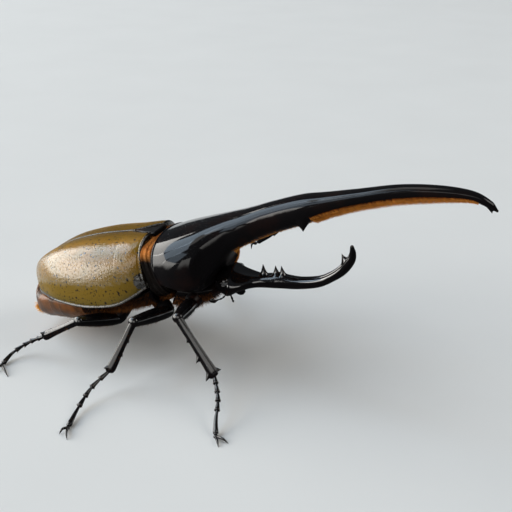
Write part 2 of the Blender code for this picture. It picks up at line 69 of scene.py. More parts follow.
# The front edge bends back towards the side: by how much, and from which station on.
FRONT_BEND = 1.6
BEND_START = 42.0
# The shoulder knob: its place, rise and radius, and the reach of its black patch.
KNOB = (53.6, 16.4, 2.2)
KNOB_RISE = 0.75
KNOB_RADIUS = 1.8
KNOB_PATCH = 3.2
# Stations of the scutellum: along and half width.
SCUTELLUM = ((46.0, 0.3), (49.0, 2.0), (52.0, 3.8), (WING_CASE_LENGTH, 4.6), (56.2, 4.4))


def through(rows, t):
    """Values at the places t along rows (0 is the first row), by a cubic that passes each row."""
    rows = np.asarray(rows, float)
    padded = np.vstack([2 * rows[0] - rows[1], rows, 2 * rows[-1] - rows[-2]])
    i = np.clip(np.asarray(t, float).astype(int), 0, len(rows) - 2)
    u = (t - i)[:, None]
    a, b, c, d = (padded[i + k] for k in range(4))
    return b + 0.5 * u * (c - a + u * (2 * a - 5 * b + 4 * c - d + u * (3 * (b - c) + d - a)))


def places(rows, along):
    """The places t at which the first column of rows reaches the values along."""
    t = np.linspace(0, len(rows) - 1, 40 * len(rows))
    return np.interp(along, through(rows, t)[:, 0], t)


def unit(vectors):
    """Vectors divided by their own lengths."""
    return vectors / np.maximum(np.linalg.norm(vectors, axis=-1, keepdims=True), 1e-9)


def hind(points):
    """Places of the hind body's own frame in the beetle's: turned up by its pitch, then set at the tail."""
    along, across, up = np.moveaxis(np.asarray(points, float), -1, 0)
    cos, sin = math.cos(HIND_PITCH), math.sin(HIND_PITCH)
    return np.stack([along * cos - up * sin, across, along * sin + up * cos], axis=-1) + TAIL


def outward(rings):
    """Unit normals of a body's rings: the step along crossed with the step round, pointing out."""
    round_step = np.roll(rings, -1, axis=1) - np.roll(rings, 1, axis=1)
    normals = unit(np.cross(np.gradient(rings, axis=0), round_step))
    return normals * np.sign((normals * (rings - rings.mean(axis=1, keepdims=True))).sum())


def bell(distance, middle, width):
    """A bell curve of height 1 at the middle, which falls to a third at the width."""
    return np.exp(-(((distance - middle) / width) ** 2))


def rounded(rings, depth, start=False, steps=7):
    """Rings with one end closed like a dome: the end ring shrinks by the cosine of a quarter turn
    while it moves out, square to its own plane, by the depth times the sine."""
    ring, inside = (rings[0], rings[1]) if start else (rings[-1], rings[-2])
    centre = ring.mean(axis=0)
    square = unit(np.cross(ring - centre, np.roll(ring, -1, axis=0) - centre).sum(axis=0))
    square = square * np.sign(square @ (centre - inside.mean(axis=0)))
    turn = (np.arange(1, steps + 1) / steps * math.radians(86))[:, None, None]
    dome = centre + (ring - centre) * np.cos(turn) + depth * np.sin(turn) * square
    return np.concatenate([dome[::-1], rings]) if start else np.concatenate([rings, dome])


def closed(rings):
    """Vertices and two face lists of a closed body: quads between its rings, a fan over each end.
    The faces are turned over if the body's volume, summed over them, comes out negative."""
    rows, columns = rings.shape[:2]
    here = np.arange(rows * columns).reshape(rows, columns)
    ahead = np.roll(here, -1, axis=1)
    quads = np.stack([here[:-1], ahead[:-1], ahead[1:], here[1:]], axis=-1).reshape(-1, 4)
    first = np.stack([ahead[0], here[0], np.full(columns, rows * columns)], axis=1)
    last = np.stack([here[-1], ahead[-1], np.full(columns, rows * columns + 1)], axis=1)
    fans = np.vstack([first, last])
    points = np.vstack([rings.reshape(-1, 3), rings[0].mean(axis=0), rings[-1].mean(axis=0)])
    flat = np.vstack([quads[:, :3], quads[:, [0, 2, 3]], fans])
    a, b, c = (points[flat[:, k]] for k in range(3))
    if (a * np.cross(b, c)).sum() < 0:
        quads, fans = quads[:, ::-1], fans[:, ::-1]
    return points, quads, fans


def with_ends(values):
    """A grid of values, one a ring point, as a list that also covers the two fans' middles."""
    return np.concatenate([values.reshape(-1, *values.shape[2:]), values[:1].mean(1), values[-1:].mean(1)])


def placed(name, data):
    """A new object of the data, linked to the scene."""
    thing = bpy.data.objects.new(name, data)
    bpy.context.scene.collection.objects.link(thing)
    return thing


def made(name, bodies, finish, marks=None, crease=50):
    """One mesh object from closed bodies, each of vertices in millimetres and face lists. It stands
    at the origin with its place in its mesh. marks are values for its vertices, by name."""
    start = np.cumsum([0] + [len(points) for points, *_ in bodies])
    faces = [(group + first).tolist() for first, (_, *groups) in zip(start, bodies) for group in groups]
    points = np.vstack([points for points, *_ in bodies]) - [BODY_LENGTH / 2, 0.0, 0.0]
    mesh = bpy.data.meshes.new(name)
    mesh.from_pydata((points * MM).tolist(), [], [face for group in faces for face in group])
    for mark, values in (marks or {}).items():
        vector = np.ndim(values) == 2
        held = mesh.attributes.new(mark, "FLOAT_VECTOR" if vector else "FLOAT", "POINT")
        held.data.foreach_set("vector" if vector else "value", np.asarray(values, float).ravel())
    mesh.shade_smooth()
    mesh.set_sharp_from_angle(angle=math.radians(crease))
    mesh.materials.append(finish.material)
    return placed(name, mesh)


def fitted(piece, slot, *nodes):
    """Sets a piece on the beetle's one body, with the solids it stands for hidden. Its slot is not used."""
    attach(piece, "root")
    if nodes:
        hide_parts(*nodes)


def shell(name, rings, finish, slot, node, marks=None, crease=50):
    """One closed shell of rings, made and fitted for its solid."""
    fitted(made(name, [closed(rings)], finish, marks, crease), slot, node)


class Socket:
    """An output of a finish's nodes. Arithmetic on it adds Math nodes, from either side."""

    def __init__(self, finish, output):
        self.finish = finish
        self.output = output

    def math(self, operation, *values):
        inputs = dict(enumerate((self, *values)))
        return self.finish.node("Math", {"operation": operation}, inputs)

    def __add__(self, other):
        return self.math("ADD", other)

    def __sub__(self, other):
        return self.math("SUBTRACT", other)

    def __rsub__(self, other):
        return self.math("MULTIPLY_ADD", -1.0, other)

    def __mul__(self, other):
        return self.math("MULTIPLY", other)

    __radd__ = __add__
    __rmul__ = __mul__

    def step(self, low, high):
        """0 up to low and 1 from high, with a smooth change between."""
        inputs = {"Value": self, "From Min": low, "From Max": high}
        settings = {"interpolation_type": "SMOOTHSTEP"}
        return self.finish.node("MapRange", settings, inputs)


class Finish:
    """A material: a Principled shader, whose fixed values are set on its own sockets."""

    def __init__(self, name, **fixed):
        self.material = bpy.data.materials.new(name)
        self.material.use_nodes = True
        self.tree = self.material.node_tree
        self.shader = self.tree.nodes["Principled BSDF"]
        self.give(**fixed)
        self.at = self.node("TexCoord", {}, {}, "Object")
        normal = self.node("TexCoord", {}, {}, "Normal")
        self.turned_up = self.node("SeparateXYZ", {}, {0: normal}, "Z")

    def put(self, socket, value):
        if isinstance(value, Socket):
            self.tree.links.new(value.output, socket)
        elif isinstance(value, (int, float)):
            socket.default_value = value
        else:
            full = [*value, 1.0] if len(socket.default_value) == 4 else value
            socket.default_value = full

    def give(self, **values):
        for name, value in values.items():
            self.put(self.shader.inputs[name.replace("_", " ").title().replace("Ior", "IOR")], value)

    def mixed(self, share, **fixed):
        """Adds a copy of the shader, but for the fixed values, which takes its place by the share."""
        first, second = self.shader, self.tree.nodes.new("ShaderNodeBsdfPrincipled")
        for here, there in zip(first.inputs, second.inputs):
            if here.is_linked:
                self.tree.links.new(here.links[0].from_socket, there)
            else:
                there.default_value = here.default_value
        shaders = {1: Socket(self, first.outputs[0]), 2: Socket(self, second.outputs[0])}
        self.shader = second
        self.give(**fixed)
        both = self.node("MixShader", {}, {0: share, **shaders})
        self.tree.links.new(both.output, self.tree.nodes["Material Output"].inputs["Surface"])

    def node(self, kind, settings, inputs, output=0):
        """A shader node of a kind: its settings first, then its sockets' values or links."""
        node = self.tree.nodes.new("ShaderNode" + kind)
        for name, value in settings.items():
            setattr(node, name, value)
        for name, value in inputs.items():
            self.put(node.inputs[name], value)
        return Socket(self, node.outputs[output])

    def mark(self, name, output="Fac"):
        return self.node("Attribute", {"attribute_name": name}, {}, output)

    def mix(self, share, first, second):
        """The first colour where the share is 0 and the second where it is 1."""
        inputs = {0: share, 6: first, 7: second}
        return self.node("Mix", {"data_type": "RGBA"}, inputs, 2)

    def noise(self, size, detail=2.0, at=None, per=MM):
        """Cloudy noise about 0.5 whose patches are size across, in units of per."""
        inputs = {"Vector": at or self.at, "Scale": 1 / (size * per), "Detail": detail}
        return self.node("TexNoise", {}, inputs)

    def dots(self, spacing, rare, largest, at=None, per=MM):
        """1 in round dots, one to a cell of the spacing. The rare share of cells stays empty, and a
        dot is at most largest of a cell in radius."""
        inputs = {"Vector": at or self.at, "Scale": 1 / (spacing * per)}
        cell = self.node("TexVoronoi", {}, inputs, "Color")
        away = Socket(self, cell.output.node.outputs["Distance"])
        luck = self.node("SeparateColor", {}, {0: cell}, 0)
        reach = (luck - rare) * (largest / (1 - rare))
        return (reach - away).step(0.0, 0.08)

    def shifted(self, at, by, size, per=MM):
        """Coordinates pushed about by up to by, over patches of the size."""
        inputs = {"Vector": at, "Scale": 1 / (size * per)}
        push = self.node("TexNoise", {}, inputs, "Color")
        inputs = {0: push, 1: (0.5,) * 3}
        centred = self.node("VectorMath", {"operation": "SUBTRACT"}, inputs)
        inputs = {0: centred, 1: (by,) * 3, 2: at}
        return self.node("VectorMath", {"operation": "MULTIPLY_ADD"}, inputs)

    def relief(self, height, depth):
        """Bumps of the height pattern, depth millimetres from 0 to 1."""
        inputs = {"Height": height, "Distance": depth * MM}
        self.give(normal=self.node("Bump", {}, inputs))


def scutellum_half(along):
    """The half width of the scutellum, which the wing cases leave room for."""
    along = np.asarray(along, float)
    rows = np.array(SCUTELLUM)
    return np.interp(along, rows[:, 0], rows[:, 1], left=-1.0)


def wing_case(side):
    """A dome across: y follows the sine and z the cosine of a quarter turn from seam to margin, then
    a flat floor leads back. Beads and grooves stand along the edges, as bell curves of the distance
    from them, and the front edge rolls down. Also gives its marks: plan, edge and down."""
    along = np.interp(np.linspace(0, 1, 216), [0.0, 0.13, 0.86, 1.0], [1.5, 5.0, 52.0, WING_CASE_LENGTH])
    v = through(WING_CASE, places(WING_CASE, along))
    top, margin, half = v[:, 1:2], v[:, 2:3], v[:, 3:4]
    inner = np.maximum(GAP / 2, scutellum_half(along) + GAP)[:, None]
    fine = np.linspace(0, 1, 700)
    turn = math.pi / 2 * np.interp(fine, [0, 0.5, 1], [0, 0.78, 1]) ** 1.2
    turn = turn * 0.5 + 0.5 * math.pi / 2 * (1 - (1 - fine) ** 1.8)
    y = inner + (half - inner) * np.sin(turn) ** 0.85
    z = margin + (top - margin) * np.maximum(np.cos(turn), 0) ** 0.55 + 0.7 * np.sin(math.pi * y / half)
    step = np.hypot(np.diff(y, axis=1), np.diff(z, axis=1))
    run = np.hstack([np.zeros((len(along), 1)), np.cumsum(step, axis=1)])
    share = np.interp(np.linspace(0, 1, 150), [0, 0.12, 0.86, 1], [0, 0.07, 0.93, 1])
    wanted = share[None] * run[:, -1:]
    y, z = (np.stack([np.interp(w, r, row) for w, r, row in zip(wanted, run, k)]) for k in (y, z))
    back = np.linspace(1.0, 0.0, 26)[None, 1:]
    floor = np.broadcast_to(back, (len(along), 25))
    y = np.hstack([y, inner + (half - inner) * back])
    z = np.hstack([z, margin + 0.0 * back])
    bend = np.clip((along[:, None] - BEND_START) / (WING_CASE_LENGTH - BEND_START), 0.0, 1.0)
    x = along[:, None] - FRONT_BEND * bend**2 * (y / WIDEST) ** 2
    rings = np.stack([x, side * y, z], axis=2)
    from_seam = np.hstack([wanted, np.zeros_like(floor)])
    from_margin = np.hstack([run[:, -1:] - wanted, 1.5 * (1 - floor)])
    from_front = np.broadcast_to(WING_CASE_LENGTH - along[:, None], y.shape)
    above = np.hstack([np.ones_like(wanted), np.zeros_like(floor)])
    bead = 0.03 * bell(from_seam, 0.35, 0.3) - 0.05 * bell(from_seam, 0.9, 0.3)
    bead += 0.22 * bell(from_margin, 0.4, 0.3) - 0.10 * bell(from_margin, 1.1, 0.35)
    bead += 0.10 * bell(from_front, 0.5, 0.3) - 0.10 * bell(from_front, 1.1, 0.35)
    roll = 0.7 * (1 - np.sqrt(1 - np.clip(1 - from_front / 0.7, 0, 1) ** 2 * 0.98))
    normals = outward(rings)
    knob = np.array(KNOB) * [1.0, side, 1.0]
    from_knob = np.linalg.norm(rings - knob, axis=2)
    rise = above * (bead - roll) + KNOB_RISE * above * bell(from_knob, 0.0, KNOB_RADIUS)
    rings = rings + normals * rise[:, :, None]
    for _ in range(3):
        rings = 0.5 * rings + 0.25 * (np.roll(rings, 1, axis=1) + np.roll(rings, -1, axis=1))
    in_patch = KNOB_PATCH - np.linalg.norm(rings - knob, axis=2)
    edge = np.min([from_seam - 0.7, from_margin - 0.85, from_front - 0.5, 0.6 - in_patch], axis=0)
    edge = np.where(above > 0, edge, -1.0)
    plan = np.stack([np.broadcast_to(along[:, None], y.shape), from_seam + 60 * (side < 0), 0 * y], axis=2)
    down = from_seam / np.maximum(from_seam + from_margin, 1.0)
    rings = rounded(rings, 0.7, start=True)
    extra = len(rings) - len(edge)
    marks = {"plan": plan, "edge": edge, "down": down}
    for name, values in marks.items():
        marks[name] = with_ends(np.concatenate([values[:1].repeat(extra, 0), values]))
    return hind(rings), marks


case = Finish("olive_wing_case", ior=1.95, roughness=0.13)
plan = case.mark("plan", "Vector")
edge = case.mark("edge")
down = case.mark("down")
cloud = case.noise(6.0, 4.0, plan, 1.0)
golden, olive, grey_olive = (0.24, 0.118, 0.005), (0.165, 0.098, 0.006), (0.085, 0.066, 0.012)
dark_gold = (0.125, 0.066, 0.003)
ground = case.mix(cloud.step(0.40, 0.70), golden, olive)
ground = case.mix(down.step(0.10, 0.30), dark_gold, ground)
ground = case.mix(down.step(0.55, 0.80), ground, olive)
ground = case.mix(down.step(0.86, 1.0) * 0.7, ground, grey_olive)
wavy = case.shifted(plan, 0.5, 0.5, 1.0)
fine_dots = case.dots(0.75, 0.20, 0.40, wavy, 1.0) * 0.85
small_dots = case.dots(1.4, 0.30, 0.40, wavy, 1.0)
large_dots = case.dots(4.8, 0.7, 0.13, wavy, 1.0)
spots = small_dots.math("MAXIMUM", large_dots).math("MAXIMUM", fine_dots)
ragged = edge + (case.noise(0.5, 2.0, plan, 1.0) - 0.5) * 1.5
black_edge = 1 - ragged.step(0.0, 0.35)
dark = spots.math("MAXIMUM", black_edge)
case.give(base_color=case.mix(dark * 0.97, ground, (0.006, 0.004, 0.003)))
pits = case.dots(0.75, 0.15, 0.33, plan, 1.0)
grain = case.node("Mapping", {}, {"Vector": plan, "Scale": (1.25, 0.9, 1.0)})
case.relief(case.noise(0.7, 3.0, grain, 1.0) * 1.2 - pits * 0.5, 0.10)
border = down + (case.noise(2.0, 3.0, plan, 1.0) - 0.5) * 0.16
pores = case.noise(0.8, 2.0, grain, 1.0).step(0.50, 0.60) * 0.50
dull = border.step(0.74, 0.80).math("MAXIMUM", 1 - border.step(0.28, 0.38)) * (1 - black_edge * 0.8)
case.mixed(dull.math("MAXIMUM", pores) * 0.95, ior=1.2, roughness=0.5)

for side, letter in SIDES:
    rings, marks = wing_case(side)
    shell("wing_case_" + letter, rings, case, "wing_cases", "elytron_" + letter, marks)

# The scutellum: a small black triangular plate between the roots of the wing cases, polished, with a
# few pits, and fixed to the body in front.
SCUTELLUM_DEPTH = 12.0
WAVE_DEPTH = 0.012


def superellipse(rows, t, columns, widest=0.5, upper=2.0, lower=2.0):
    """Rings between an upper and a lower line, given by rows of x and z above, x and z below, and half
    width. The width is reached at the height share widest, and the halves above and below it are
    superellipses of their own powers."""
    v = through(rows, t)
    angle = 2 * math.pi * (np.arange(columns) + 0.5) / columns
    cos, sin = np.cos(angle), np.sin(angle)
    widest, upper, lower = (np.broadcast_to(k, len(t))[:, None] for k in (widest, upper, lower))
    power = 2 / np.where(sin >= 0, upper, lower)
    y = v[:, 4:5] * np.sign(cos) * np.abs(cos) ** power
    rise = np.sign(sin) * np.abs(sin) ** power
    height = widest + rise * np.where(sin >= 0, 1 - widest, widest)
    x = v[:, 2:3] + (v[:, 0:1] - v[:, 2:3]) * height
    z = v[:, 3:4] + (v[:, 1:2] - v[:, 3:4]) * height
    return np.stack([x, y, z], axis=2)


def black_finish(name, brown, pit_size=0.6, pit_depth=0.02, roughness=0.10, polish=0.42, gloss=1.47):
    """Polished black horn, with a share of red-brown showing through in soft patches, very shallow
    waves in the gloss and fine pits. The polish is gone where the surface turns up less than polish."""
    finish = Finish(name, roughness=roughness, ior=gloss)
    patches = finish.noise(9.0, 4.0).step(0.48, 0.75) * brown
    finish.give(base_color=finish.mix(patches, (0.0045, 0.004, 0.0045), (0.060, 0.016, 0.005)))
    pits = finish.dots(pit_size, 0.35, 0.3)
    finish.relief(finish.noise(2.4, 2.0) * (WAVE_DEPTH / pit_depth) - pits, pit_depth)
    border = finish.turned_up + (finish.noise(3.0, 3.0) - 0.5) * 0.2
    finish.mixed(1 - border.step(polish - 0.1, polish + 0.1), ior=1.07, roughness=0.5)
    return finish


polished = black_finish("polished_black_shell", brown=0.25, pit_size=0.8, roughness=0.45, gloss=1.25)
along = np.linspace(46.4, 56.0, 44)
top = through(WING_CASE, places(WING_CASE, np.minimum(along, WING_CASE_LENGTH)))[:, 1] + 0.25
bottom = np.where(along < 54.0, top - SCUTELLUM_DEPTH, top - 1.9)
rows = np.stack([along, top, along, bottom, scutellum_half(along)], axis=1)
rings = hind(superellipse(rows, np.arange(len(rows)), 56, upper=5.0, lower=6.0))
rings = rounded(rounded(rings, 0.3), 0.2, start=True)
shell("scutellum_plate", rings, polished, "black_shell", "scutellum")

# The waist: the soft orange-brown skin that joins the wing cases' segment to the pronotum. It is
# folded across and bare, with bristles along its front.
WAIST = ((54.4, 14.5, 54.4, -8.6, 15.3), (56.6, 13.2, 58.6, -8.4, 14.8), (58.7, 11.6, 60.4, -6.8, 14.2))
FOLD_DEPTH = 0.16
# The heights, in metres above the floor, between which painted shade, near black, under the wing cases gives
# way to the skin's orange.
PAINTED_SHADE_HEIGHTS = (0.0360, 0.0395)

waist_skin = Finish("orange_joint_skin", roughness=0.5, ior=1.2)
blotch = waist_skin.noise(3.0, 4.0).step(0.35, 0.7)
height = waist_skin.node("SeparateXYZ", {}, {0: waist_skin.at}, "Z")
skin = waist_skin.mix(blotch, (0.92, 0.36, 0.085), (0.50, 0.155, 0.035))
# Painted shade: the skin is near black below these heights, for the shade under the wing cases.
waist_skin.give(base_color=waist_skin.mix(height.step(*PAINTED_SHADE_HEIGHTS), (0.005, 0.003, 0.002), skin))
waist_skin.relief(waist_skin.noise(0.7, 3.0), 0.16)
waist_rings = superellipse(WAIST, np.linspace(0, 2, 60), 120, 0.6, 3.2, 2.4)
folds = FOLD_DEPTH * np.sin(np.linspace(0, 7 * math.pi, 60))[:, None] - FOLD_DEPTH
rings = hind(waist_rings + outward(waist_rings) * folds[:, :, None])
shell("waist_skin", rings, waist_skin, "joint_membrane", "waist", crease=70)

# The belly: five overlapping plates of dark red-brown horn, the tail plate behind them, and the
# larger black breast plate in front, which carries the sockets of the middle and hind legs.
BREAST_END = 54.2
UNDERSIDE = (
    (-0.8, -5.6, 2.2),
    (0.6, -7.6, 5.4),
    (2.6, -8.9, 8.6),
    (6.5, -10.6, 12.2),
    (16.5, -12.0, 16.2),
    (26.5, -12.0, 16.6),
    (38.0, -10.6, 14.9),
    (47.5, -10.4, 14.5),
    (BREAST_END, -10.2, 13.4),
)
BELLY_LENGTH = 26.6
TAIL_PLATE = (-0.75, 2.6)
PLATES = 5
PLATE_STEP = 0.45


def underside(start, end, count, columns, plates=0):
    """Rings of the belly. Each plate swells towards its rear edge, then drops by the step."""
    along = np.linspace(start, end, count)
    keel, half = through(UNDERSIDE, places(UNDERSIDE, along))[:, 1:].T
    top = through(WING_CASE, places(WING_CASE, along))[:, 2] - GAP - 0.05
    part = np.linspace(0.0, plates, count) % 1.0
    swell = PLATE_STEP * (1.0 - part) * np.clip(part / 0.06, 0, 1) * (plates > 0)
    rows = np.stack([along, top, along, keel - swell, half + swell], axis=1)
    widest = np.interp(along, [0.0, 12.0], [0.34, 0.75])
    return superellipse(rows, np.arange(len(rows)), columns, widest, upper=5.0, lower=2.1)


belly = Finish("red_brown_belly", roughness=0.35, ior=1.35)
stain = belly.noise(5.0, 4.0).step(0.35, 0.65)
belly.give(base_color=belly.mix(stain, (0.170, 0.056, 0.009), (0.045, 0.022, 0.010)))
belly.relief(belly.noise(0.9, 3.0) - belly.dots(0.7, 0.2, 0.32) * 0.6, 0.07)
rings = hind(underside(TAIL_PLATE[1] + GAP, BELLY_LENGTH, 150, 120, PLATES))
shell("belly_plates", rings, belly, "belly_shell", "abdomen", crease=60)
rings = hind(underside(*TAIL_PLATE, 24, 90))
shell("tail_plate", rings, belly, "belly_shell", "pygidium")

# The six legs' places: the root of the hip joint in the body, hip, knee, ankle, three places along
# the foot, and the tips of the two claws.
LEGS = {
    "fore_r": (
        (68.5, -5.0, 24.6), (69.0, -13.2, 23.4), (71.9, -29.0, 25.4), (86.1, -33.0, 9.8),
        (90.7, -40.5, 6.2), (93.2, -47.8, 3.0), (95.0, -52.0, 0.8), (98.1, -57.0, 0.0), (100.0, -54.0, 0.0),
    ),
    "mid_r": (
        (52.0, -4.5, 18.5), (58.6, -10.5, 17.4), (56.7, -31.0, 22.1), (51.6, -39.0, 7.3),
        (49.1, -46.5, 4.5), (49.2, -55.0, 1.9), (51.2, -64.5, 0.8), (50.4, -68.5, 0.0), (54.2, -70.3, 0.0),
    ),
    "hind_r": (
        (39.5, -4.5, 15.0), (38.5, -11.0, 11.2), (33.2, -27.0, 16.4), (18.8, -26.5, 7.8),
        (12.9, -27.5, 4.9), (8.9, -32.0, 2.2), (8.7, -38.0, 0.8), (10.2, -42.5, 0.0), (15.1, -44.3, 0.0),
    ),
    "fore_l": (
        (68.5, 5.0, 24.6), (69.0, 13.2, 23.4), (66.4, 29.0, 31.5), (82.4, 36.5, 37.0),
        (85.6, 33.0, 37.6), (81.6, 27.3, 35.0), (78.2, 23.4, 33.5), (77.5, 19.3, 32.2), (74.6, 19.3, 33.0),
    ),
    "mid_l": (
        (52.0, 4.5, 18.5), (58.6, 10.5, 17.4), (57.5, 31.0, 21.8), (54.0, 39.0, 7.0),
        (53.0, 47.0, 4.4), (54.5, 55.5, 1.9), (57.0, 64.3, 0.8), (57.4, 68.4, 0.0), (60.6, 70.3, 0.0),
    ),
    "hind_l": (
        (39.5, 4.5, 15.0), (38.5, 11.0, 11.2), (32.5, 27.0, 16.8), (19.5, 28.5, 7.5),
        (14.5, 31.0, 4.6), (12.5, 36.5, 2.1), (13.5, 42.5, 0.8), (15.5, 46.8, 0.0), (19.8, 48.0, 0.0),
    ),
}
PROSTERNUM = ((64.4, 28.4, 60.0, 18.2, 13.2), (69.4, 28.0, 68.0, 19.2, 11.8), (74.5, 28.0, 75.1, 23.6, 8.6))


def limb(path, radii, columns, flat=1.0):
    """Rings along a path, square to it. Their outline is an ellipse, flat times as wide across as it
    is high, and the radii are one a ring or one a point."""
    path = np.asarray(path, float)
    heading = unit(np.gradient(path, axis=0))
    across = unit(np.cross([0.0, 0.0, 1.0], heading))
    rise = np.cross(heading, across)
    angle = 2 * math.pi * (np.arange(columns) + 0.5) / columns
    cos, sin = np.cos(angle)[None, :, None], np.sin(angle)[None, :, None]
    outline = cos * rise[:, None] + flat * sin * across[:, None]
    radii = np.asarray(radii, float)
    return path[:, None] + outline * radii.reshape(len(path), -1, 1)


def smooth_run(values, shares, count):
    """Values through the given shares of a run, read at count even places."""
    at = places(np.asarray(shares, float)[:, None], np.linspace(0, 1, count))
    return through(np.asarray(values, float).reshape(len(shares), -1), at)


def straight(start, end, count):
    """Even steps on the line from start to end."""
    return start + np.linspace(0, 1, count)[:, None] * (end - start)


def hip_joint(leg):
    root, hip = (np.array(place) for place in LEGS[leg][:2])
    radii = smooth_run((2.9, 2.95, 2.9, 2.5), (0, 0.4, 0.8, 1), 40)
    rings = limb(straight(root, hip, 40), radii, 56)
    return closed(rounded(rounded(rings, 1.2), 0.5, start=True))


breast = black_finish("breast_black", brown=0.5, pit_size=0.9, pit_depth=0.04, roughness=0.35)
rings = hind(underside(BELLY_LENGTH + GAP, BREAST_END, 90, 110))
hips = [hip_joint(leg) for leg in LEGS if not leg.startswith("fore")]
fitted(made("breast_plate", [closed(rings), *hips], breast), "black_shell", "thorax")
breast_rings = superellipse(PROSTERNUM, np.linspace(0, 2, 50), 90, 0.6, 4.0, 2.2)
bodies = [closed(rounded(breast_rings, 0.8)), *(hip_joint(leg) for leg in LEGS if leg.startswith("fore"))]
fitted(made("fore_breast_plate", bodies, breast), "black_shell", "prosternum")

# The pronotum and the long horn that grows from its front: one polished black plate in life, with a
# raised bead along its rear and sides. The horn has a pair of side teeth and a small tooth under its
# bent tip, and is a piece of its own from where the two solids meet.
PRONOTUM_AND_HORN = (
    (54.0, 43.3, 61.0, 29.5, 19.3),
    (60.5, 46.0, 67.5, 28.7, 20.8),
    (67.5, 48.6, 74.0, 29.0, 19.4),
    (73.5, 50.8, 74.6, 31.8, 15.0),
    (78.2, 52.5, 80.2, 39.8, 10.6),
    (82.4, 54.0, 86.0, 43.4, 8.8),
    (86.4, 55.6, 89.8, 45.6, 7.6),
    (92.5, 58.1, 95.3, 48.4, 6.8),
    (102.5, 61.7, 105.5, 52.7, 6.3),
    (110.7, 63.5, 112.9, 56.8, 5.2),
    (121.2, 65.9, 122.6, 60.8, 4.1),
    (134.6, 69.0, 135.4, 64.3, 3.2),
    (146.9, 70.2, 147.1, 66.2, 2.8),
    (157.0, 69.7, 156.4, 66.8, 2.2),
    (162.8, 67.3, 161.8, 65.3, 1.5),
    (BODY_LENGTH, 64.8, 164.6, 64.1, 0.5),
)
HORN_START = 5.6
PLATE_COLUMNS = 200
# The shield's lower corners, as shares of the way round it.
CORNERS = (0.872, 0.628)
HORN_TEETH = (
    ((104.6, -3.4, 56.0), (105.6, -5.6, 51.4), 2.6),
    ((104.6, 3.4, 56.0), (105.6, 5.6, 51.4), 2.6),
    ((162.2, 0.0, 66.2), (163.4, 0.0, 63.4), 1.1),
)


def horn_rings(t, columns):
    widest = np.interp(t, [0, 2, 5, 15], [0.30, 0.34, 0.5, 0.5])
    lower = np.interp(t, [0, 2, 5, 15], [4.5, 4.0, 2.1, 2.0])
    return superellipse(PRONOTUM_AND_HORN, t, columns, widest, 2.15, lower)


def thorned(rings, thorns, sharpness=1.5):
    """Rings drawn out to thorns, each of a root, a tip and a reach. A point at a distance d from the
    thorn's axis moves along it towards the tip by (1 - d / reach) to the power sharpness."""
    for root, tip, reach in thorns:
        root, tip = np.array(root), np.array(tip)
        axis = unit(tip - root)
        off = rings - root
        ahead = off @ axis
        away = np.linalg.norm(off - ahead[..., None] * axis, axis=-1)
        share = np.clip(1 - away / reach, 0, 1) ** sharpness * np.clip(2 * ahead / reach + 1.2, 0, 1)
        left = np.maximum((tip - root) @ axis - ahead, 0)
        rings = rings + (share * left)[..., None] * axis
    return rings


plate_t = np.interp(np.linspace(0, 1, 170), [0, 0.16, 1.0], [0.0, 0.35, HORN_START])
rings = horn_rings(plate_t, PLATE_COLUMNS)
step = np.linalg.norm(np.diff(rings, axis=0), axis=2)
from_rear = np.vstack([np.zeros((1, PLATE_COLUMNS)), np.cumsum(step, axis=0)])
round_step = np.linalg.norm(np.roll(rings, -1, axis=1) - rings, axis=2)
round_run = np.cumsum(round_step, axis=1)
columns = [int(PLATE_COLUMNS * share) for share in CORNERS]
from_corner = np.min([np.abs(round_run - round_run[:, k : k + 1]) for k in columns], axis=0)
fade = np.interp(plate_t, [0, 2.6, 3.8], [1, 1, 0])[:, None]
bead = 0.30 * bell(from_rear, 0.45, 0.38) - 0.20 * bell(from_rear, 1.4, 0.5)
bead = np.maximum(bead, fade * 0.32 * bell(from_corner, 0, 0.5)) - fade * 0.1 * bell(from_corner, 1.5, 0.5)
rings = rings + outward(rings) * bead[:, :, None]
shield = black_finish("polished_black_shield", brown=0.10, pit_size=0.55, pit_depth=0.012, roughness=0.07)
rings = rounded(rings, 0.35, start=True, steps=5)
shell("pronotum_shield", rings, shield, "black_shell", "pronotum")
# The horn's rings lie closer round the side teeth and at the tip.
horn_t = np.interp(np.linspace(0, 1, 430), [0, 0.12, 0.36, 0.86, 1.0], [HORN_START, 7.75, 8.6, 13.6, 15.0])
rings = rounded(thorned(horn_rings(horn_t, 128), HORN_TEETH), 0.4)
shell("long_horn", rings, shield, "horns", "thoracic_horn")

# The head: a small black box, plugged by its neck into the body under the shield. It runs out in the
# lower horn, which curves up to a hooked tip, with three little teeth on top and one below the tip.
# The eyes sit in its sides.
HEAD = (
    (75.3, 32.3, 75.4, 24.4, 6.6),
    (78.7, 33.8, 75.9, 24.2, 7.2),
    (82.0, 32.4, 78.6, 23.4, 8.3),
    (85.2, 31.6, 82.4, 25.6, 7.2),
    (88.4, 31.6, 87.6, 27.2, 3.9),
    (95.0, 32.7, 95.2, 28.0, 2.9),
    (102.5, 33.1, 102.9, 28.9, 2.5),
    (109.0, 34.4, 109.9, 30.7, 2.3),
    (112.9, 36.4, 114.8, 33.6, 2.2),
    (116.0, 39.0, 118.8, 36.9, 2.1),
    (118.2, 41.8, 121.4, 41.0, 1.9),
    (119.5, 44.0, 121.7, 44.2, 1.3),
    (119.7, 46.2, 120.9, 46.5, 0.7),
)
HORN_ROOT = 4.0
NECK_PLUG = 2.0
HEAD_HORN_TEETH = (
    ((90.1, 0.0, 31.2), (89.6, 0.0, 36.0), 2.1),
    ((94.6, 0.0, 31.4), (94.1, 0.0, 36.1), 2.0),
    ((97.0, 0.0, 31.6), (96.2, 0.0, 36.3), 1.9),
    ((118.4, 0.0, 40.0), (116.9, 0.0, 43.7), 1.6),
)
EYE_CENTRE = (78.4, 7.0, 30.0)
EYE_RADII = (1.7, 1.5, 1.7)

ridge = black_finish("polished_black_horn", brown=0.05, pit_depth=0.012, roughness=0.06, gloss=2.1)


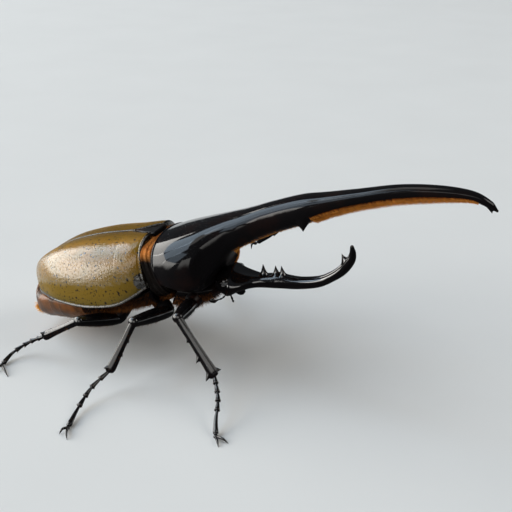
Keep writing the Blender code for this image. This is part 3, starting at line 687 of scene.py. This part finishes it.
def ridged(rings, spread, rise):
    """Rings whose top bears two ridges, the spread apart from the middle, with a channel between.
    Spread and rise are rows of values against x."""
    x, y = rings[..., 0], np.abs(rings[..., 1])
    upper = rings[..., 2] > rings[..., 2].mean(axis=1, keepdims=True)
    apart, height = np.interp(x, *spread), np.interp(x, *rise)
    lift = height * (bell(y, apart, 0.3 * apart + 0.25) - 0.35 * bell(y, 0.0, 0.5 * apart)) * upper
    return rings + lift[..., None] * [0.0, 0.0, 1.0]


RIDGE_SPREAD = ((76.0, 82.0, 90.0, 97.0, 103.0), (4.6, 3.3, 2.0, 1.3, 0.8))
RIDGE_RISE = ((76.0, 80.0, 90.0, 97.0, 103.0), (0.2, 0.4, 0.4, 0.35, 0.0))


def head_rings(start, end, count, columns):
    t = np.linspace(start, end, count)
    upper, lower = np.interp(t, [0, HORN_ROOT], [1.8, 2.0]), np.interp(t, [0, HORN_ROOT], [2.3, 2.0])
    return ridged(superellipse(HEAD, t, columns, 0.5, upper, lower), RIDGE_SPREAD, RIDGE_RISE)


rings = rounded(head_rings(0, HORN_ROOT, 140, 220), NECK_PLUG, start=True)
shell("head_capsule", rings, ridge, "black_shell", "head")
rings = rounded(thorned(head_rings(HORN_ROOT, len(HEAD) - 1, 380, 160), HEAD_HORN_TEETH, 2.0), 0.6)
shell("head_horn_hook", rings, ridge, "horns", "head_horn")


def ball(centre, radii, columns=48):
    """An ellipsoid, in rings from pole to pole across the beetle."""
    turn = np.linspace(0.03, math.pi - 0.03, columns // 2)[:, None]
    angle = np.linspace(0, 2 * math.pi, columns, endpoint=False)[None]
    x, z = np.sin(turn) * np.cos(angle), np.sin(turn) * np.sin(angle)
    y = np.cos(turn) + 0 * angle
    return np.stack([x, y, z], axis=2) * radii + centre


eye_glass = Finish("dark_eye", roughness=0.12, coat_weight=1.0, coat_roughness=0.02)
facets = eye_glass.dots(0.12, 0.0, 0.5)
eye_glass.give(base_color=eye_glass.mix(facets, (0.006, 0.004, 0.003), (0.020, 0.010, 0.005)))
eye_glass.relief(facets, 0.006)
for side, letter in SIDES:
    rings = ball((EYE_CENTRE[0], side * EYE_CENTRE[1], EYE_CENTRE[2]), EYE_RADII)
    shell("eye_ball_" + letter, rings, eye_glass, "eyes", "eye_" + letter)

# The mouth parts and feelers: stout jaws under the front of the head, a jointed palp on each side,
# and the feelers, whose last three joints are flat leaves folded into a club.
ANTENNA = ((78.8, 6.0, 27.6), (80.2, 9.2, 27.2), (79.8, 11.6, 26.4), (77.8, 12.8, 25.6))
PALP = ((79.0, 3.8, 25.2), (80.4, 5.0, 23.6), (80.8, 4.8, 22.3))
MANDIBLE = ((80.8, 2.6, 26.8), (82.8, 3.0, 25.6), (83.9, 2.0, 25.5))
CLUB_LENGTH = 2.5


def mirrored(points, side):
    return np.asarray(points, float) * [1.0, side, 1.0]


def feeler(points, shares, radii, side, count=90):
    """A jointed feeler: rings along the curve through its points, swelling at each joint."""
    path = through(mirrored(points, side), np.linspace(0, len(points) - 1, count))
    return rounded(rounded(limb(path, smooth_run(radii, shares, count), 20), 0.2), 0.2, start=True)


brown_black = black_finish("brown_black_feeler", brown=0.9, pit_size=0.4, pit_depth=0.01, roughness=0.25)
for side, letter in SIDES:
    beads = (0.42, 0.3, 0.44, 0.42, 0.2, 0.34, 0.2, 0.34, 0.2, 0.33, 0.2, 0.32, 0.24)
    bodies = [closed(feeler(ANTENNA, np.linspace(0, 1, 13), beads, side))]
    tip = mirrored(ANTENNA, side)[-1]
    for k in (-1, 0, 1):
        bodies.append(closed(ball(tip + [-0.9, 0.36 * k, -0.3], (CLUB_LENGTH / 2, 0.17, 0.55), 24)))
    fitted(made("feeler_" + letter, bodies, brown_black), "antennae", "antenna_" + letter)
    palp = feeler(PALP, np.linspace(0, 1, 7), (0.36, 0.4, 0.24, 0.38, 0.22, 0.38, 0.2), side)
    shell("mouth_palp_" + letter, palp, brown_black, "antennae", "palp_" + letter)
    jaw = feeler(MANDIBLE, np.linspace(0, 1, 5), (1.2, 1.3, 1.1, 0.8, 0.3), side)
    shell("jaw_" + letter, jaw, ridge, "black_shell", "mandible_" + letter)

# The legs: a thick thigh, a shin that widens to its end and bears thorns, a foot of five joints,
# each with spines at its end, and two long hooked claws. All are black horn with a fine grain.
THIGH_RADII = (2.1, 2.3, 2.4, 2.2, 1.9, 1.75)
THIGH_PLACES = (0.0, 0.14, 0.4, 0.65, 0.87, 1.0)
SHIN_RADII = (1.35, 1.3, 1.22, 1.4, 1.62, 1.4)
SHIN_PLACES = (0.0, 0.12, 0.4, 0.7, 0.94, 1.0)
FORE_SHIN_GROWTH = 1.15
# Thorns: share of the way down, degrees round from the outer face, and length.
SHIN_THORNS = (
    (0.36, 200, 1.0), (0.5, 120, 0.9), (0.64, 190, 1.3), (0.8, 100, 1.1), (0.95, 160, 1.5), (0.95, 20, 1.3),
)
FORE_SHIN_THORNS = ((0.36, 0, 0.9), (0.66, 0, 2.0), (0.95, 0, 2.4), (0.95, 170, 1.4))
SHIN_OUTER = (-0.25, 0.8, 0.55)
FORE_SHIN_OUTER = (-0.93, 0.37, 0.0)
FOOT_JOINTS = (0.0, 0.17, 0.32, 0.47, 0.63, 1.0)
# The radius along one foot joint, from its neck to its shoulder.
FOOT_JOINT = ((0.0, 0.42), (0.3, 0.58), (0.7, 0.74), (0.88, 0.88), (0.95, 0.82), (0.985, 0.5))
CLAW_RADIUS = 0.42

leg_black = black_finish(
    "grained_black_leg", brown=0.05, pit_size=0.7, pit_depth=0.05, roughness=0.13, polish=0.25, gloss=1.7
)


def thigh(hip, knee):
    return limb(straight(hip, knee, 70), smooth_run(THIGH_RADII, THIGH_PLACES, 70), 48, 1.1)


def turned(vector, axis, degrees):
    """A vector turned about a unit axis, by the cosine of itself and the sine of its cross with it."""
    angle = math.radians(degrees)
    return vector * math.cos(angle) + np.cross(axis, vector) * math.sin(angle)


def shin(knee, ankle, growth, thorns, outer):
    """Rings from knee to ankle with low ridges along them, drawn out into thorns that lean down."""
    share = np.linspace(0, 1, 170)
    radii = growth * smooth_run(SHIN_RADII, SHIN_PLACES, 170)
    angle = 2 * math.pi * (np.arange(56) + 0.5) / 56
    ridges = 1 + 0.05 * np.cos(5 * angle)[None] * np.clip(share * 4, 0, 1)[:, None]
    axis = unit(ankle - knee)
    facing = unit(np.array(outer) - (np.array(outer) @ axis) * axis)
    drawn = []
    for place, turn, length in thorns:
        radius = growth * float(np.interp(place, SHIN_PLACES, SHIN_RADII))
        out = turned(facing, axis, turn)
        root = knee + place * (ankle - knee)
        tip = root + out * (radius + 0.75 * length) + axis * 0.7 * length
        drawn.append((root + out * 0.7 * radius, tip, 0.55 + 0.24 * length))
    rings = thorned(limb(straight(knee, ankle, 170), radii * ridges, 56, 0.85), drawn)
    return rounded(rounded(rings, 0.8), 1.0, start=True)


def foot(ankle, steps):
    """Rings along the curve through the foot's places. Each joint swells from its neck and ends in a
    rounded shoulder; the last is long and swells to the claws. Also gives the joints' ends."""
    knots = np.vstack([ankle, steps])
    fine = through(knots, np.linspace(0, len(knots) - 1, 300))
    run = np.concatenate([[0.0], np.cumsum(np.linalg.norm(np.diff(fine, axis=0), axis=1))])
    shares, radii = [], []
    for start, end in zip(FOOT_JOINTS[:-1], FOOT_JOINTS[1:]):
        for part, radius in FOOT_JOINT:
            shares.append(start + part * (end - start))
            radii.append(radius)
    shares, radii = np.array(shares + [1.0]), np.array(radii + [0.5])
    share = np.linspace(0, 1, 190)
    path = np.stack([np.interp(share * run[-1], run, fine[:, k]) for k in range(3)], axis=1)
    ends = [int(189 * (joint - 0.02)) for joint in FOOT_JOINTS[1:]]
    return path, np.interp(share, shares, radii), ends


def claw_pair(end, back, tips):
    """Two hooks that arch from the foot's end to their tips, on a small ball."""
    axis = unit(end - back)
    centre = end + axis * 0.9
    centre[2] = max(centre[2], 0.62)
    bodies = [closed(ball(centre, (0.75, 0.75, 0.6), 24))]
    for tip in tips:
        start = end + axis * 0.7
        crown = start + 0.55 * (tip - start) + [0.0, 0.0, 1.1] + axis * 0.5
        path = through([start, crown, tip], np.linspace(0, 2, 40))
        radii = CLAW_RADIUS * np.interp(np.linspace(0, 1, 40), [0, 0.4, 0.75, 1], [1.0, 0.95, 0.65, 0.12])
        bodies.append(closed(limb(path, radii, 20)))
    return bodies


for leg, (_, hip, knee, ankle, *steps, claw_a, claw_b) in LEGS.items():
    hip, knee, ankle, claw_a, claw_b = (np.array(place) for place in (hip, knee, ankle, claw_a, claw_b))
    fore, side = leg.startswith("fore"), 1 if leg.endswith("l") else -1
    growth = FORE_SHIN_GROWTH if fore else 1.0
    thorns, outer = (FORE_SHIN_THORNS, FORE_SHIN_OUTER) if fore else (SHIN_THORNS, SHIN_OUTER)
    path, radii, _ = foot(ankle, steps)
    rings = limb(path, radii, 24)
    rings[:, :, 2] = np.maximum(rings[:, :, 2], 0.0)
    thigh_rings = rounded(rounded(thigh(hip, knee), 1.5), 1.0, start=True)
    shin_rings = shin(knee, ankle, growth, thorns, mirrored(outer, side))
    shell(leg + "_thigh", thigh_rings, leg_black, "legs", leg + "_femur")
    shell(leg + "_shin", shin_rings, leg_black, "legs", leg + "_tibia")
    shell(leg + "_foot", rings, leg_black, "legs", leg + "_tarsus")
    pair = claw_pair(path[-1].copy(), path[-12], (claw_a, claw_b))
    fitted(made(leg + "_claw_pair", pair, leg_black), "legs", leg + "_claws")

# The velvet under the long horn: a dense brush of short rust-orange hair on its lower face, from the
# side teeth to near the tip, which thins to a fringe along the throat. The hairs grow from the plate.
# The brush's length at stations of the horn, then the number of hairs of each group.
BRUSH = ((8.35, 1.3), (9.3, 1.7), (10.4, 2.0), (11.5, 1.9), (12.3, 1.5), (13.0, 1.0), (13.35, 0.7))
BRUSH_HAIRS = 11500
FRINGE_HAIRS = 2400
THROAT_HAIRS = 1600
# The throat's hair: stations and the degrees round at them, then degrees and the stations at them.
THROAT_LINE = ((2.6, 2.75, 3.0, 3.5, 4.0, 4.4), (-20.0, -12.0, -34.0, -61.0, -89.0, -105.0))
THROAT_EDGE = ((-92.0, -64.0, -53.0, -26.0), (2.16, 2.20, 2.34, 2.55))
HORN_ROWS = 480
PATCH = 0.003
chance = np.random.default_rng(7)


def rooted(grid, row, column):
    """A ring grid's values at fractional rows and columns, blended from the four round each."""
    r, c = np.floor(row).astype(int), np.floor(column).astype(int)
    r = np.clip(r, 0, len(grid) - 2)
    u, w = (row - r)[:, None], (column - c)[:, None]
    c, ahead = c % grid.shape[1], (c + 1) % grid.shape[1]
    low = grid[r, c] * (1 - w) + grid[r, ahead] * w
    high = grid[r + 1, c] * (1 - w) + grid[r + 1, ahead] * w
    return low * (1 - u) + high * u


def hairs(roots, headings, bends, lengths, radii, plan, joints=3):
    """Solid hairs of three sides. A hair's middle line leaves its root along the heading and is drawn
    over by its bend times the square of the share along it, and its radius falls to a point. Each
    has its patch of the coat's map, at its root's place. Returns vertices, faces, map and shares."""
    count, share = len(roots), np.linspace(0, 1, joints + 1)[None, :, None]
    headings = unit(headings)
    way = headings[:, None] * share + bends[:, None] * share**2
    line = roots[:, None] + np.reshape(lengths, (-1, 1, 1)) * way
    across = unit(np.cross(headings, [0.31, 0.22, 0.93]))
    rise = np.cross(headings, across)
    angle = 2 * math.pi * np.arange(3)[:, None] / 3
    outline = np.cos(angle) * across[:, None] + np.sin(angle) * rise[:, None]
    thick = np.reshape(radii, (-1, 1)) * (1 - share[0, :-1, 0] ** 1.5)
    rings = line[:, :-1, None] + outline[:, None] * thick[:, :, None, None]
    points = np.concatenate([rings.reshape(count, 3 * joints, 3), line[:, -1:]], axis=1)
    k, j = np.arange(3), 3 * np.arange(joints - 1)[:, None]
    ahead = (k + 1) % 3
    quads = np.stack([j + k, j + ahead, j + 3 + ahead, j + 3 + k], axis=-1).reshape(-1, 4)
    top = 3 * (joints - 1)
    tips = np.vstack([np.stack([top + k, top + ahead, 0 * k + 3 * joints], axis=1), [[2, 1, 0]]])
    step = (points.shape[1] * np.arange(count))[:, None, None]
    spread = np.array([(s % 3 / 3, s // 3 / joints) for s in range(3 * joints)] + [(0.5, 1.0)]) * PATCH
    uv = plan[:, None] + spread
    shares = np.tile(np.append(np.repeat(share[0, :-1, 0], 3), 1.0), count)
    faces = (step + quads).reshape(-1, 4), (step + tips).reshape(-1, 3)
    return (points.reshape(-1, 3), *faces), uv.reshape(-1, 2), shares


def grown(grid, row, angle, lengths, radii, lean, droop=(0.0, 0.0, 0.0), stray=0.12, tile=0):
    """Hairs on a ring grid at the rows and angles. They stand out along its normals, lean, stray a
    little and droop. Their map is the grid's own unwrap, in the tile of that number out of four."""
    count = len(row)
    lengths, radii = (chance.uniform(*span, count) if len(span) == 2 else span for span in (lengths, radii))
    column = (angle % 360) / 360 * grid.shape[1] - 0.5
    out = rooted(outward(grid), row, column)
    headings = out + lean + chance.normal(0, stray, (count, 3))
    corner = np.array([tile % 2, tile // 2]) * 0.5
    plan = np.stack([row / len(grid), angle % 360 / 360], axis=1) * 0.49 + corner
    roots, bends = rooted(grid, row, column) - 0.1 * out, np.tile(droop, (count, 1))
    return hairs(roots, headings, bends, lengths, radii, plan)


def coat(name, groups, finish):
    """One mesh of several groups of hairs, with its map, OFBake, and each vertex's share to its tip."""
    shares = np.concatenate([share for *_, share in groups])
    plan = np.concatenate([uv for _, uv, _ in groups])
    piece = made(name, [body for body, *_ in groups], finish, {"tip": shares}, crease=180)
    corners = np.empty(len(piece.data.loops), np.int32)
    piece.data.loops.foreach_get("vertex_index", corners)
    piece.data.uv_layers.new(name="OFBake").data.foreach_set("uv", plan[corners].ravel())
    return piece


def hair_finish(name, root, tip):
    """Hair that pales from its root to its tip, some of it darker."""
    finish = Finish(name, roughness=0.6, ior=1.2)
    pale = finish.mix(finish.mark("tip").step(0.0, 0.9), root, tip)
    dark = finish.noise(1.2, 2.0).step(0.45, 0.65) * 0.4
    finish.give(base_color=finish.mix(dark, pale, root))
    return finish


def around(middle, spread, count):
    """Angles about a middle one, thick near it and none beyond the spread."""
    return middle + spread * np.clip(chance.normal(0, 0.5, count), -1, 1)


rust_hair = hair_finish("rust_orange_hair", (0.34, 0.090, 0.010), (0.85, 0.36, 0.065))
horn_grid_t = np.linspace(2.0, 14.0, HORN_ROWS)
horn_grid = horn_rings(horn_grid_t, 120)


def even(first, last, count):
    return chance.uniform(first, last, count)


def horn_row(station):
    return np.interp(station, horn_grid_t, np.arange(HORN_ROWS))


def horn_station(row):
    return np.interp(row, np.arange(HORN_ROWS), horn_grid_t)


row = horn_row(even(8.35, 13.4, BRUSH_HAIRS))
lengths = np.interp(horn_station(row), *np.array(BRUSH).T) * even(0.8, 1.1, BRUSH_HAIRS)
angles = around(-90, 62, BRUSH_HAIRS)
brush = grown(horn_grid, row, angles, lengths, (0.035, 0.065), (0.3, 0, 0), (0.25, 0, 0))
fitted(coat("horn_velvet", [brush], rust_hair), "horns")
row = horn_row(even(4.2, 8.35, FRINGE_HAIRS))
fringe = grown(horn_grid, row, around(-90, 40, FRINGE_HAIRS), (0.3, 0.6), (0.035, 0.06), (0.3, 0, 0))
row = horn_row(even(2.6, 4.4, THROAT_HAIRS))
angles = np.interp(horn_station(row), *THROAT_LINE) + even(-9, 12, THROAT_HAIRS)
throat = grown(horn_grid, row, angles, (0.3, 0.6), (0.035, 0.055), (0.3, 0, -0.6), (0.2, 0, -0.3), tile=1)
angles = even(-92, -26, THROAT_HAIRS)
row = horn_row(np.interp(angles, *THROAT_EDGE) + even(-0.05, 0.10, THROAT_HAIRS))
edge_hairs = grown(horn_grid, row, angles, (0.4, 0.8), (0.04, 0.065), (0.3, 0, -0.3), (0.1, 0, -0.2), tile=2)
fitted(coat("throat_fringe", [fringe, throat, edge_hairs], rust_hair), "horns")

# The hair of the body's underside: rust-brown down on the belly and breast, longer round the hips and
# in the gap behind the shield, orange in the gap's upper part and amber at the tail.
brown_hair = hair_finish("rust_brown_hair", (0.030, 0.010, 0.003), (0.24, 0.080, 0.014))
belly_grid = hind(underside(0.6, BREAST_END, 160, 120))
waist_grid = hind(waist_rings)


def strewn(count, grid, rows, angles, lengths, radii, lean, **more):
    """Hairs on a ring grid, spread evenly between two rows and two angles."""
    return grown(grid, even(*rows, count), even(*angles, count), lengths, radii, lean, **more)


down_hairs = strewn(5200, belly_grid, (2, 158), (-152, -28), (0.4, 1.0), (0.03, 0.05), (-0.7, 0, 0))
FLANK = ((0.9, 2.0), (0.03, 0.055), (-0.2, 0, -0.3))
flank_hairs = [
    grown(belly_grid, even(70, 158, 1500), middle + even(-28, 28, 1500), *FLANK, stray=0.3, tile=tile)
    for middle, tile in ((-20, 1), (-160, 2))
]
fitted(coat("belly_down", [down_hairs, *flank_hairs], brown_hair), "belly_shell")
lean = (0, 0, -0.3)
breast_hairs = strewn(2600, breast_rings, (1, 48), (-185, 5), (0.8, 2.2), (0.03, 0.055), lean, stray=0.3)
lean = (-0.2, 0, -0.4)
gap_hairs = strewn(1400, waist_grid, (4, 56), (-132, -48), (0.8, 2.0), (0.03, 0.055), lean, stray=0.3, tile=1)
fitted(coat("hip_hair", [breast_hairs, gap_hairs], brown_hair), "black_shell")
lean = (-0.7, 0, 0)
bristles = strewn(700, waist_grid, (10, 55), (15, 165), (0.4, 0.9), (0.025, 0.04), lean, stray=0.2)
fitted(coat("waist_bristles", [bristles], rust_hair), "joint_membrane")
amber_hair = hair_finish("amber_hair", (0.42, 0.150, 0.018), (0.90, 0.46, 0.10))
lean = (-0.8, 0, 0)
tail_hairs = strewn(2400, belly_grid, (0, 10), (-178, -2), (0.9, 2.4), (0.03, 0.05), lean, stray=0.25)
fitted(coat("tail_hair", [tail_hairs], amber_hair), "belly_shell")

# The legs' bristles: sparse rust-brown hairs along the thighs and shins, and a ring of short, stiff
# spines at the end of each foot joint but the last.
THIGH_HAIRS = 160
SHIN_HAIRS = 150
SPINES = 9


def leg_hairs(leg):
    """The hairs of one leg: on its thigh's lower side, round its shin, and the spines of its foot."""
    hip, knee, ankle, *steps = (np.array(place) for place in LEGS[leg][1:])
    lower = limb(straight(knee, ankle, 80), smooth_run(SHIN_RADII, SHIN_PLACES, 80), 48, 0.85)
    path, radii, ends = foot(ankle, steps[:3])
    rings = limb(path, radii, 24)
    lean = unit(knee - hip) * 0.8
    groups = [strewn(THIGH_HAIRS, thigh(hip, knee), (4, 66), (120, 240), (0.5, 1.1), (0.03, 0.05), lean)]
    lean = unit(ankle - knee) * 1.2
    groups.append(strewn(SHIN_HAIRS, lower, (14, 76), (0, 360), (0.4, 0.9), (0.03, 0.045), lean, tile=1))
    row = np.repeat(np.array(ends[:-1], float), SPINES)
    angle = np.tile(np.arange(SPINES) * 360 / SPINES, len(ends) - 1)
    lean = rooted(unit(np.gradient(path, axis=0))[:, None].repeat(2, 1), row, 0 * row) * 1.5
    groups.append(grown(rings, row, angle, (0.45, 0.8), (0.06, 0.09), lean, tile=2))
    return groups


groups = [group for leg in LEGS for group in leg_hairs(leg)]
fitted(coat("leg_bristles", groups, brown_hair), "legs")

# The floor, the lights and the camera: a plain pale floor under soft panels, seen from the
# photograph's place and angle.
FLOOR_HALF = 3.0

ground_finish = Finish("pale_floor", roughness=0.9, ior=1.1)
pale = ground_finish.mix(ground_finish.noise(60.0), (0.70, 0.71, 0.71), (0.74, 0.75, 0.75))
ground_finish.give(base_color=pale)
corners = np.array([(-1, -1), (1, -1), (1, 1), (-1, 1)]) * FLOOR_HALF
mesh = bpy.data.meshes.new("floor")
mesh.from_pydata([(x, y, 0.0) for x, y in corners.tolist()], [], [(0, 1, 2, 3)])
mesh.materials.append(ground_finish.material)
floor = placed("floor", mesh)

# Soft panels, two rows of them on the beetle's tail side and a few to fill in: azimuth and height in
# degrees as seen from the beetle, the angles that each spans, brightness and colour.
PANEL_DISTANCE = 6.0
LOW_WHITE, HIGH_BLUE, WARM = (1.0, 0.98, 0.935), (0.68, 0.84, 1.0), (1.0, 0.96, 0.91)
PANELS = (
    (-108.3, 18.5, 30.5, 36.0, 4.6, LOW_WHITE),
    (-77.0, 18.5, 30.5, 36.0, 4.9, LOW_WHITE),
    (-45.7, 18.5, 30.5, 36.0, 4.5, LOW_WHITE),
    (-105.0, 48.5, 20.3, 24.0, 3.2, HIGH_BLUE),
    (-75.0, 48.5, 20.3, 24.0, 2.8, HIGH_BLUE),
    (-45.0, 45.5, 21.5, 18.0, 1.6, HIGH_BLUE),
    (-105.0, 70.0, 34.0, 18.0, 1.0, LOW_WHITE),
    (5.0, 29.0, 40.0, 30.0, 1.5, LOW_WHITE),
    (110.0, 42.0, 34.0, 26.0, 2.4, WARM),
)
for number, (azimuth, height, wide, tall, bright, colour) in enumerate(PANELS):
    light = bpy.data.lights.new(f"panel_{number}", "AREA")
    light.shape = "RECTANGLE"
    light.size = 2 * PANEL_DISTANCE * math.tan(math.radians(wide / 2))
    light.size_y = 2 * PANEL_DISTANCE * math.tan(math.radians(tall / 2))
    light.energy = bright * math.pi * light.size * light.size_y
    light.color = colour
    lamp = placed(f"panel_{number}", light)
    a, e = math.radians(azimuth), math.radians(height)
    toward = np.array([math.sin(a) * math.cos(e), -math.cos(a) * math.cos(e), math.sin(e)])
    lamp.location = toward * PANEL_DISTANCE
    lamp.rotation_euler = (math.pi / 2 - e, 0.0, a)

world = bpy.data.worlds.new("dim_room")
world.use_nodes = True
world.node_tree.nodes["Background"].inputs["Color"].default_value = (0.04, 0.045, 0.05, 1.0)
bpy.context.scene.world = world
bpy.context.scene.view_settings.view_transform = "Standard"

CAMERA_AZIMUTH = 22.0
CAMERA_HEIGHT = 22.0
CAMERA_PLACE = (0.12165, -0.28967, 0.16445)
LENS = 70.71
SENSOR = 36.0
camera = placed("camera", bpy.data.cameras.new("camera"))
camera.data.sensor_width = SENSOR
camera.data.lens = LENS
camera.data.clip_start = 0.01
camera.location = CAMERA_PLACE
camera.rotation_euler = (math.radians(90.0 - CAMERA_HEIGHT), 0.0, math.radians(CAMERA_AZIMUTH))
bpy.context.scene.camera = camera
